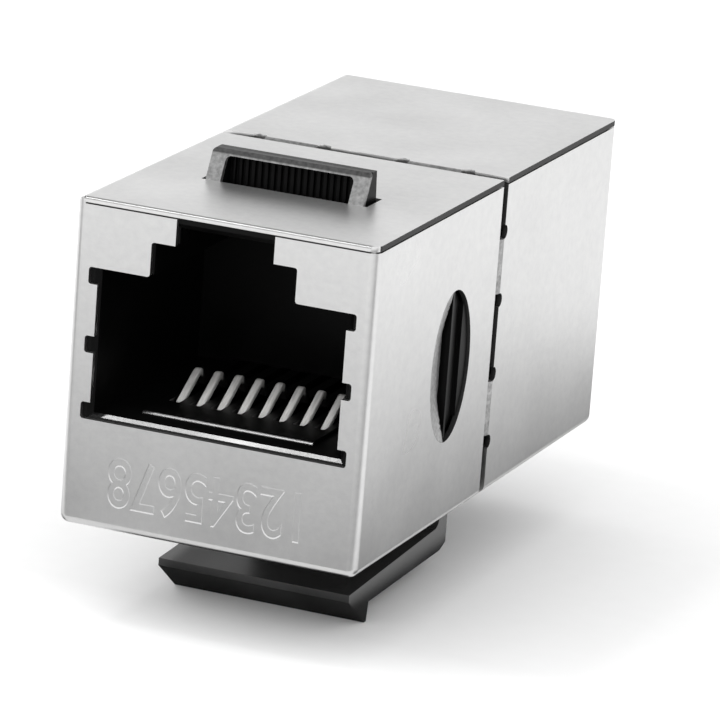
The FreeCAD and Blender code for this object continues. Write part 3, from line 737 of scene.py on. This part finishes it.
def settle(piece: bpy.types.Object, body: Body, nodes: Iterable[str]) -> None:
    """Tie a finished piece to its body and the CAD nodes it stands for.

    Args:
        piece: the finished piece.
        body: the body it moves with.
        nodes: CAD nodes that the piece replaces.
    """
    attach(piece, body.value)
    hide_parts(*nodes)
    LOG.info("%s: %d faces on %s", piece.name, len(piece.data.polygons), body.value)


# ---- sub-assemblies


@dataclass
class FoldedCase:
    """One folded box of the metal case.

    Attributes:
        end: which of the two boxes it is.
        finish: the sheet's nickel plate.
        painted_shade_finish: near-black painted shade on its unplated cut edges and lens openings.
        formed_finish_and_shade: ramp, seam tabs and dishes; darker nickel, partly painted shade.
        panel_painted_light: the top panel, in paler nickel that is painted light.
        edges: how its edges are broken.
        side: half of the box's width.
        panel_top: height of the top panel's outer face.
        panel_round: radius of its edge over the face plate.
        panel_facets: facets across that edge.
        cut_height: height of the cut edge beside it.
        sheet: thickness of the sheet, with a little room.
        front_rim: place of the front box's rim along Y.
        rear_rim: place of the rear box's rim along Y.
        rim_depth: how far from the rim a cut edge reaches.
        tab_reach: how far before the rim a seam tab starts.
        lens_middle: a lens's middle, along Y and Z.
        lens_half: half of its size, along Y and Z.
        lens_sunk: the most that a lens is sunk.
        dish_end: where the pressed dish ends along Y and the open half starts.
        figures: the way numbers pressed into the face plate.
        figure_height: their height.
        figure_em: type size that gives figures of height 1.
        figure_row: length of their row.
        figure_level: height of the row's middle.
        figure_depth: how deep they are pressed.
        figure_slope: width of their sloped walls.
        figure_lift: how far their tool's middle stands before the face.
        figure_skin: depth from which a face counts as theirs.
        figure_reach: share of their depth down to which it does.
        near: margin within which a place counts as met.
        side_margin: the same for the side's cut edge.
        level_margin: the same for the panel's height and the rim.
        facing_limit: least part of a cut edge's normal along its way.
        flat_limit: the same for the flat panel.
    """

    end: End
    finish: bpy.types.Material
    painted_shade_finish: bpy.types.Material
    formed_finish_and_shade: bpy.types.Material
    panel_painted_light: bpy.types.Material
    edges: EdgeSoftening = EdgeSoftening(0.045 * MM, 2, 32.0)
    side: float = 7.25 * MM
    panel_top: float = 6.65 * MM
    panel_round: float = 0.17 * MM
    panel_facets: int = 4
    cut_height: float = 0.26 * MM
    sheet: float = 0.27 * MM
    front_rim: float = 15.0 * MM
    rear_rim: float = 15.6 * MM
    rim_depth: float = 0.4 * MM
    tab_reach: float = 0.03 * MM
    lens_middle: tuple[float, float] = (9.9 * MM, -1.02 * MM)
    lens_half: tuple[float, float] = (2.45 * MM, 3.67 * MM)
    lens_sunk: float = 2.0 * MM
    dish_end: float = 9.6 * MM
    figures: str = "12345678"
    figure_height: float = 2.3 * MM
    figure_em: float = 1.4
    figure_row: float = 9.4 * MM
    figure_level: float = -6.05 * MM
    figure_depth: float = 0.020 * MM
    figure_slope: float = 0.065 * MM
    figure_lift: float = 0.001 * MM
    figure_skin: float = 0.0002 * MM
    figure_reach: float = 1.5
    near: float = 0.01 * MM
    side_margin: float = 0.05 * MM
    level_margin: float = 0.02 * MM
    facing_limit: float = 0.3
    flat_limit: float = 0.99

    def figure_tool(self) -> bpy.types.Object:
        """Solid way numbers that are pressed into the face plate under the plug way.

        Returns:
            The numbers as one mesh, standing through the face.
        """
        curve = bpy.data.curves.new("way_numbers", "FONT")
        curve.body = self.figures
        curve.size = self.figure_height * self.figure_em
        curve.align_x = "CENTER"
        curve.align_y = "CENTER"
        curve.bevel_depth = self.figure_slope
        curve.bevel_resolution = 0
        text = new_object("way_numbers", curve)
        graph = bpy.context.evaluated_depsgraph_get()
        mesh = bpy.data.meshes.new_from_object(text.evaluated_get(graph))
        bpy.data.objects.remove(text)
        xs = [vertex.co.x for vertex in mesh.vertices]
        stretch = self.figure_row / (max(xs) - min(xs))
        turn = Matrix.Rotation(math.pi, 4, "Y") @ Matrix.Rotation(math.pi / 2, 4, "X")
        place = Matrix.Translation((0.0, -self.figure_lift, self.figure_level))
        shallow = self.figure_depth / self.figure_slope
        mesh.transform(place @ turn @ Matrix.Diagonal((stretch, 1.0, shallow, 1.0)))
        return new_object("way_numbers", mesh)

    def pressed(self, face: bpy.types.MeshPolygon) -> bool:
        """Tell a wall or floor of the way numbers from the rest of the case.

        Args:
            face: a face of the case.

        Returns:
            True where the face lies within the row, under the face plate's outer side.
        """
        middle = face.center
        in_row = abs(middle.z - self.figure_level) < self.figure_height
        in_row = in_row and abs(middle.x) < self.figure_row
        return in_row and self.figure_skin < middle.y < self.figure_depth * self.figure_reach

    def in_lens(self, place: Vector) -> bool:
        """Tell whether a point of the front box lies sunk in one of its side lenses.

        Args:
            place: the point.

        Returns:
            True inside a lens's outline and under the side's face.
        """
        sunk = self.side - self.lens_sunk < abs(place.x) < self.side - self.near
        along = (place.y - self.lens_middle[0]) / self.lens_half[0]
        above = (place.z - self.lens_middle[1]) / self.lens_half[1]
        return self.end is End.FRONT and sunk and along ** 2 + above ** 2 < 1.0

    def round_panel_end(self, piece: bpy.types.Object) -> None:
        """Round the top panel's edge over the face plate.

        Args:
            piece: the case, with sharp edges.
        """
        low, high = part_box(self.end.value + "_shell")
        face = low.y if self.end is End.FRONT else high.y
        sheet = bmesh.new()
        sheet.from_mesh(piece.data)
        rim = [edge for edge in sheet.edges
               if all(abs(vertex.co.y - face) < self.near
                      and abs(vertex.co.z - self.panel_top) < self.near for vertex in edge.verts)]
        bmesh.ops.bevel(sheet, geom=rim, offset=self.panel_round, offset_type="OFFSET",
                        segments=self.panel_facets, profile=0.5, affect="EDGES",
                        clamp_overlap=True)
        sheet.to_mesh(piece.data)
        sheet.free()

    def finish_surfaces(self, piece: bpy.types.Object) -> None:
        """Paint shade on cut edges and lens openings, light on the top, and darken the formed
        parts.

        Args:
            piece: the finished case, dressed in plain nickel.
        """
        for finish in (self.painted_shade_finish, self.formed_finish_and_shade, self.panel_painted_light):
            piece.data.materials.append(finish)
        facing = 1.0 if self.end is End.FRONT else -1.0
        rim = self.front_rim if self.end is End.FRONT else self.rear_rim
        for face in piece.data.polygons:
            middle, normal = face.center, face.normal
            beside = middle.x > self.side - self.side_margin and normal.x > self.facing_limit
            beside = beside and middle.z > self.panel_top - self.cut_height
            at_seam = -self.level_margin < (middle.y - rim) * -facing < self.rim_depth
            at_seam = at_seam and normal.y * facing > self.facing_limit
            in_sheet = abs(middle.x) > self.side - self.sheet
            on_tab = self.end is End.REAR and middle.y < rim - self.tab_reach
            lens = self.in_lens(middle)
            # painted shade: near-black on the side's top band, seam edges and lens openings
            if beside or (at_seam and in_sheet) or (lens and middle.y > self.dish_end):
                face.material_index = Surface.CUT_EDGE
            # tabs, dishes and ramp: darker nickel, partly formed metal, partly painted shade
            elif on_tab or lens or middle.z > self.panel_top + self.level_margin:
                face.material_index = Surface.FORMED_AND_SHADE
            # painted light: a paler nickel on the top panel
            elif middle.z > self.panel_top - self.level_margin and normal.z > self.flat_limit:
                face.material_index = Surface.PANEL

    def build(self) -> None:
        """Build the folded box with its edges broken and, at the front, its way numbers."""
        node = self.end.value + "_shell"
        piece = self.edges.welded_copy(node, self.end.value + "_case")
        self.round_panel_end(piece)
        self.edges.soften(piece)
        if self.end is End.FRONT:
            tool = self.figure_tool()
            cut = piece.modifiers.new("way numbers", "BOOLEAN")
            cut.operation = "DIFFERENCE"
            cut.solver = "EXACT"
            cut.use_self = True
            cut.object = tool
            bake_modifiers(piece)
            bpy.data.objects.remove(tool)
            smooth_between(piece, self.edges.smooth_under, self.pressed)
        dress(piece, self.finish)
        self.finish_surfaces(piece)
        settle(piece, Body.HOUSING, [node])


@dataclass
class Socket:
    """One moulded socket with its contact carrier."""

    end: End
    moulding: bpy.types.Material
    polished: bpy.types.Material
    edges: EdgeSoftening = EdgeSoftening(0.05 * MM, 2, 30.0)
    lead_width: float = 0.09 * MM
    lead_slope: tuple[float, float] = (0.6, 0.8)
    lead_turn: float = 0.1

    def polish_leads(self, piece: bpy.types.Object) -> None:
        """Give the sloping lead-ins of a moulding their polished finish.

        Args:
            piece: the finished moulding.
        """
        polished_index = len(piece.data.materials)
        piece.data.materials.append(self.polished)
        places = [vertex.co for vertex in piece.data.vertices]
        lengths = {(one, other): (places[one] - places[other]).length
                   for one, other in piece.data.edge_keys}
        least, most = self.lead_slope
        for face in piece.data.polygons:
            width = face.area / max(lengths[key] for key in face.edge_keys)
            sloped = least < face.normal.z < most and abs(face.normal.x) < self.lead_turn
            if sloped and width > self.lead_width:
                face.material_index = polished_index

    def build(self) -> None:
        """Build the moulded socket and its carrier with softened edges."""
        for node, name, slot in (("jack_body", "socket", Slot.SOCKET),
                                 ("contact_comb", "carrier", Slot.CARRIER)):
            piece = self.edges.welded_copy(f"{self.end.value}_{node}", f"{self.end.value}_{name}")
            self.edges.soften(piece)
            dress(piece, self.moulding)
            self.polish_leads(piece)
            settle(piece, Body.HOUSING, [f"{self.end.value}_{node}"])


@dataclass
class ContactRow:
    """Every second contact of a socket: equal wires at twice the pin pitch.

    Each pair of lengths is a place along the plug way and a height; the rear row is turned round.
    """

    end: End
    first: int
    finish: bpy.types.Material
    shell_length: float = 30.0 * MM
    pitch: float = 1.016 * MM
    count: int = 4
    width: float = 0.34 * MM
    thickness: float = 0.28 * MM
    edge_radius: float = 0.06 * MM
    edge_points: int = 3
    bend_radius: float = 0.25 * MM
    bend_points: int = 8
    smooth_under: float = 50.0
    upper_row: float = -4.6 * MM
    lower_row: float = -5.6 * MM
    bend_place: float = 4.1 * MM
    bend_level: float = -3.6 * MM
    crest: tuple[float, float] = (6.35 * MM, -2.2 * MM)
    tip: tuple[float, float] = (6.95 * MM, -2.95 * MM)

    def nodes(self) -> list[str]:
        """CAD nodes that the row stands for."""
        return [f"{self.end.value}_contact_{self.first + 2 * step}" for step in range(self.count)]

    def path(self) -> bpy.types.Object:
        """Bare line of the row's leftmost wire, from its tail to its tip.

        Returns:
            An object whose mesh is one run of edges.
        """
        low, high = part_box(self.nodes()[0])
        row = self.upper_row if self.first % 2 else self.lower_row
        side = (low.x + high.x) / 2
        tail = high.y if self.end is End.FRONT else low.y
        corners = [(self.bend_place, row), (self.bend_place, self.bend_level), self.crest, self.tip]
        if self.end is End.REAR:
            corners = [(self.shell_length - along, level) for along, level in corners]
        points = [(side, tail, row)] + [(side, along, level) for along, level in corners]
        mesh = bpy.data.meshes.new("wire_line")
        mesh.from_pydata(points, [(step, step + 1) for step in range(len(points) - 1)], [])
        return new_object("wire_line", mesh)

    def tree(self) -> bpy.types.NodeTree:
        """Node tree that sweeps the wire along its line and repeats it across the socket.

        Returns:
            The geometry node tree, with its sizes as named inputs.
        """
        tree = bpy.data.node_groups.new("contact_wires", "GeometryNodeTree")
        face = tree.interface
        face.new_socket("Line", in_out="INPUT", socket_type="NodeSocketGeometry")
        for label, kind in (("Count", "Int"), ("Step", "Vector"), ("Width", "Float"),
                            ("Thickness", "Float"), ("Edge Radius", "Float"),
                            ("Bend Radius", "Float"), ("Finish", "Material")):
            face.new_socket(label, in_out="INPUT", socket_type="NodeSocket" + kind)
        face.new_socket("Wires", in_out="OUTPUT", socket_type="NodeSocketGeometry")
        add = tree.nodes.new
        link = tree.links.new
        inputs = add("NodeGroupInput").outputs
        line = add("GeometryNodeMeshToCurve")
        bend = add("GeometryNodeFilletCurve")
        section = add("GeometryNodeCurvePrimitiveQuadrilateral")
        corner = add("GeometryNodeFilletCurve")
        sweep = add("GeometryNodeCurveToMesh")
        points = add("GeometryNodeMeshLine")
        copies = add("GeometryNodeInstanceOnPoints")
        real = add("GeometryNodeRealizeInstances")
        finish = add("GeometryNodeSetMaterial")
        output = add("NodeGroupOutput")
        for node, count in ((bend, self.bend_points), (corner, self.edge_points)):
            self.set_mode(node, count)
        link(inputs["Line"], line.inputs["Mesh"])
        link(line.outputs["Curve"], bend.inputs["Curve"])
        link(inputs["Bend Radius"], bend.inputs["Radius"])
        link(inputs["Width"], section.inputs["Width"])
        link(inputs["Thickness"], section.inputs["Height"])
        link(section.outputs["Curve"], corner.inputs["Curve"])
        link(inputs["Edge Radius"], corner.inputs["Radius"])
        link(bend.outputs["Curve"], sweep.inputs["Curve"])
        link(corner.outputs["Curve"], sweep.inputs["Profile Curve"])
        sweep.inputs["Fill Caps"].default_value = True
        link(inputs["Count"], points.inputs["Count"])
        link(inputs["Step"], points.inputs["Offset"])
        link(points.outputs["Mesh"], copies.inputs["Points"])
        link(sweep.outputs["Mesh"], copies.inputs["Instance"])
        link(copies.outputs["Instances"], real.inputs["Geometry"])
        link(real.outputs["Geometry"], finish.inputs["Geometry"])
        link(inputs["Finish"], finish.inputs["Material"])
        link(finish.outputs["Geometry"], output.inputs["Wires"])
        return tree

    @staticmethod
    def set_mode(node: bpy.types.Node, count: int) -> None:
        """Set a fillet node to arcs of a fixed number of points.

        Args:
            node: the fillet node.
            count: points in each arc.
        """
        node.mode = "POLY"
        node.inputs["Count"].default_value = count
        node.inputs["Limit Radius"].default_value = True

    def build(self) -> None:
        """Build the row's wires as one piece."""
        row = "upper" if self.first % 2 else "lower"
        piece = self.path()
        piece.name = f"{self.end.value}_wires_{row}"
        modifier = piece.modifiers.new("wires", "NODES")
        modifier.node_group = self.tree()
        across = 2 * self.pitch if self.end is End.FRONT else -2 * self.pitch
        values = {"Count": self.count, "Step": (across, 0.0, 0.0), "Width": self.width,
                  "Thickness": self.thickness, "Edge Radius": self.edge_radius,
                  "Bend Radius": self.bend_radius, "Finish": self.finish}
        for socket in modifier.node_group.interface.items_tree:
            if socket.in_out == "INPUT" and socket.name in values:
                modifier[socket.identifier] = values[socket.name]
        bake_modifiers(piece)
        smooth_between(piece, self.smooth_under)
        settle(piece, Body.HOUSING, self.nodes())


@dataclass
class PanelLatch:
    """Moulded latch arm under the case."""

    finish: bpy.types.Material
    edges: EdgeSoftening = EdgeSoftening(0.14 * MM, 4, 20.0)

    def build(self) -> None:
        """Build the latch with rounded edges."""
        piece = self.edges.welded_copy("panel_latch", "latch_moulding")
        self.edges.soften(piece)
        dress(piece, self.finish)
        settle(piece, Body.LATCH, ["panel_latch"])


@dataclass
class MiddleBoard:
    """Circuit board at the seam."""

    finish: bpy.types.Material
    edges: EdgeSoftening = EdgeSoftening(0.04 * MM, 1, 60.0)

    def build(self) -> None:
        """Build the board with its pin holes."""
        piece = self.edges.welded_copy("circuit_board", "middle_board")
        self.edges.soften(piece)
        dress(piece, self.finish)
        settle(piece, Body.HOUSING, ["circuit_board"])


# ---- studio


@dataclass
class SoftLamp:
    """A square lamp that faces the coupler."""

    name: str
    place: Point
    size: float
    power: float

    def build(self, aim: Vector) -> None:
        """Hang the lamp.

        Args:
            aim: the point that the lamp faces.
        """
        lamp = bpy.data.lights.new(self.name, "AREA")
        lamp.shape = "SQUARE"
        lamp.size = self.size
        lamp.energy = self.power
        holder = new_object(self.name, lamp)
        holder.location = self.place
        holder.rotation_euler = (aim - Vector(self.place)).to_track_quat("-Z", "Y").to_euler()


@dataclass
class Studio:
    """Camera, floor, lamps and surrounding light.

    Attributes:
        paper: the floor's finish.
        aim: the point that the camera and the lamps face.
        azimuth: how far the camera stands to the right of the front, in degrees.
        elevation: how far it stands over the horizon, in degrees.
        roll: its turn about its own axis, in degrees.
        distance: its distance from the aim point.
        lens: its focal length, in millimetres.
        sensor: width of its film, in millimetres.
        clip: the nearest and farthest distance that it sees.
        floor_size: length of the floor's side.
        floor_gap: room between the latch and the floor.
        ambient: level of the surrounding light.
        ambient_side: how much it grows along each axis; the front is its brightest side.
        sky_fade: height share where the mirrored sky starts and ends its fade.
        sky_top: how bright the mirrored sky is over that.
        lamps: the lamps.
    """

    paper: bpy.types.Material
    aim: Point = (0.00084, 0.01499, -0.00303)
    azimuth: float = 21.52
    elevation: float = 15.73
    roll: float = 4.33
    distance: float = 0.26513
    lens: float = 284.96
    sensor: float = 36.0
    clip: tuple[float, float] = (0.01, 20.0)
    floor_size: float = 4.0
    floor_gap: float = 0.02 * MM
    ambient: float = 1.22
    ambient_side: Point = (-0.16, -0.88, 0.15)
    sky_fade: tuple[float, float] = (0.30, 0.66)
    sky_top: float = 0.22
    lamps: tuple[SoftLamp, ...] = (
        SoftLamp("overhead", (-0.149, -0.112, 0.350), 0.028, 0.10),
    )

    def camera(self) -> None:
        """Set the camera on its arc round the aim point."""
        around = math.radians(self.azimuth)
        above = math.radians(self.elevation)
        away = Vector((math.sin(around) * math.cos(above), -math.cos(around) * math.cos(above),
                       math.sin(above)))
        data = bpy.data.cameras.new("camera")
        data.sensor_width = self.sensor
        data.lens = self.lens
        data.clip_start, data.clip_end = self.clip
        holder = new_object("camera", data)
        turn = (-away).to_track_quat("-Z", "Y").to_matrix()
        turn = turn @ Matrix.Rotation(math.radians(self.roll), 3, "Z")
        place = Matrix.Translation(Vector(self.aim) + away * self.distance)
        holder.matrix_world = place @ turn.to_4x4()
        bpy.context.scene.camera = holder

    def floor(self) -> None:
        """Lay the floor under the latch's lowest edge."""
        level = CAD_BOX[0][2] - self.floor_gap
        half = self.floor_size / 2
        mesh = bpy.data.meshes.new("floor")
        mesh.from_pydata([(-half, -half, level), (half, -half, level), (half, half, level),
                          (-half, half, level)], [], [(0, 1, 2, 3)])
        piece = new_object("floor", mesh)
        dress(piece, self.paper)

    def surroundings(self) -> None:
        """Light the scene from all round, and most from the front.

        The camera sees plain white, and mirror-like finishes a sky that darkens with height.
        """
        world = bpy.data.worlds.new("surroundings")
        world.use_nodes = True
        bpy.context.scene.world = world
        work = NodeWork(world.node_tree)
        rays = work.add("ShaderNodeLightPath").outputs
        direction = work.add("ShaderNodeTexCoord").outputs["Generated"]
        split = work.add("ShaderNodeSeparateXYZ")
        work.join(direction, split.inputs["Vector"])
        mirrored = work.spread(split.outputs["Z"], 1.0, self.sky_top, *self.sky_fade)
        side = work.add("ShaderNodeVectorMath", operation="DOT_PRODUCT")
        work.join(direction, side.inputs[0])
        side.inputs[1].default_value = self.ambient_side
        even = work.math("ADD", side.outputs["Value"], self.ambient)
        either = work.math("MAXIMUM", rays["Is Glossy Ray"], rays["Is Transmission Ray"])
        level = work.mix(either, even, mirrored)
        sky = work.tree.nodes["Background"]
        sky.inputs["Color"].default_value = WHITE
        work.join(work.mix(rays["Is Camera Ray"], level, 1.0), sky.inputs["Strength"])

    def build(self) -> None:
        """Set up the whole studio."""
        bpy.context.scene.view_settings.view_transform = "Standard"
        self.camera()
        self.floor()
        self.surroundings()
        for lamp in self.lamps:
            lamp.build(Vector(self.aim))


def main() -> None:
    """Build the studio and every piece of the coupler."""
    logging.basicConfig(level=logging.INFO, format="%(name)s: %(message)s")
    Studio(FloorPaper().material()).build()
    nickel = SatinNickel().material()
    # formed parts: darker, rougher nickel, partly their own and partly painted shade
    formed_metal_and_shade = SatinNickel("formed_nickel_and_shade", pale=grey(0.66), dull=grey(0.36), smooth=0.44,
                         rough=0.58, mottle_scale=5200.0, dark_over=7.83 * MM).material()
    moulding = MouldedPlastic(deep=grey(0.0015), lighter=grey(0.003), smooth=0.30, rough=0.42,
                              grain_depth=0.000004, shine=0.14).material()
    polished = MouldedPlastic("polished_lead", smooth=0.12, rough=0.17, grain_depth=0.000002,
                              dull_under=-3.43 * MM).material()
    latch = MouldedPlastic("latch_gloss", deep=grey(0.022), lighter=grey(0.034), smooth=0.12,
                           rough=0.19, grain_scale=1500.0, grain_depth=0.000004).material()
    # painted shade: near-black on the case's cut edges and lens openings
    cut_edge = MouldedPlastic("near_black_shade", deep=grey(0.008), lighter=grey(0.02), smooth=0.5,
                              rough=0.6).material()
    # painted light: a paler copy of the nickel for the top panel
    panel = SatinNickel("panel_nickel_painted_light", pale=(0.93, 0.93, 0.925), dull=grey(0.87), smooth=0.36,
                        rough=0.44).material()
    plate = SpringPlate().material()
    mask = SolderMask().material()
    for end in End:
        FoldedCase(end, nickel, cut_edge, formed_metal_and_shade, panel).build()
        Socket(end, moulding, polished).build()
        for first in (1, 2):
            ContactRow(end, first, plate).build()
    MiddleBoard(mask).build()
    PanelLatch(latch).build()


if __name__ == "__main__":
    main()
